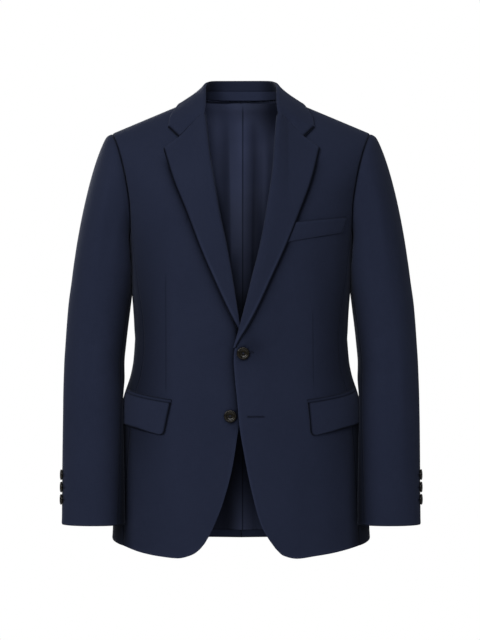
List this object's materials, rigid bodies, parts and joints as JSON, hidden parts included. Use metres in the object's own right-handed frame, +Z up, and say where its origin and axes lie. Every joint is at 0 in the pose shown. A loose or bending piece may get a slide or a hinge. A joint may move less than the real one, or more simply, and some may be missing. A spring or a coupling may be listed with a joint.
{
  "type": "single breasted blazer",
  "caption": "Single breasted blazer in its worn, hollow form: notch lapels, flap pockets, a breast welt and buttoned cuffs, fastened at the waist.",
  "frame": {"origin": "on the middle plane, level with the places where the collar crosses the shoulder seams, below the neck opening", "axes": "+Z up, the front faces -Y, +X towards the wearer's left"},
  "size_m": [0.6062, 0.2412, 0.8081],
  "materials": {
    "navy_wool": "matt",
    "navy_wool_turned": "matt",
    "navy_lining": "satin",
    "dark_horn": "gloss"
  },
  "bodies": {
    "root": {"front_left": "navy_wool", "side_left": "navy_wool", "back_left": "navy_wool", "front_right": "navy_wool", "side_right": "navy_wool", "back_right": "navy_wool", "back_lining": "navy_lining", "lapel_left": "navy_wool_turned", "lapel_right": "navy_wool_turned", "collar": "navy_wool_turned", "collar_stand": "navy_wool_turned", "sleeve_top_left": "navy_wool", "sleeve_under_left": "navy_wool", "flap_left": "navy_wool", "jetting_left": "navy_wool", "sleeve_top_right": "navy_wool", "sleeve_under_right": "navy_wool", "flap_right": "navy_wool", "jetting_right": "navy_wool", "breast_welt": "navy_wool", "button_front_top": "dark_horn", "button_front_low": "dark_horn", "button_cuff_left_1": "dark_horn", "button_cuff_left_2": "dark_horn", "button_cuff_left_3": "dark_horn", "button_cuff_right_1": "dark_horn", "button_cuff_right_2": "dark_horn", "button_cuff_right_3": "dark_horn"}
  },
  "joints": []
}
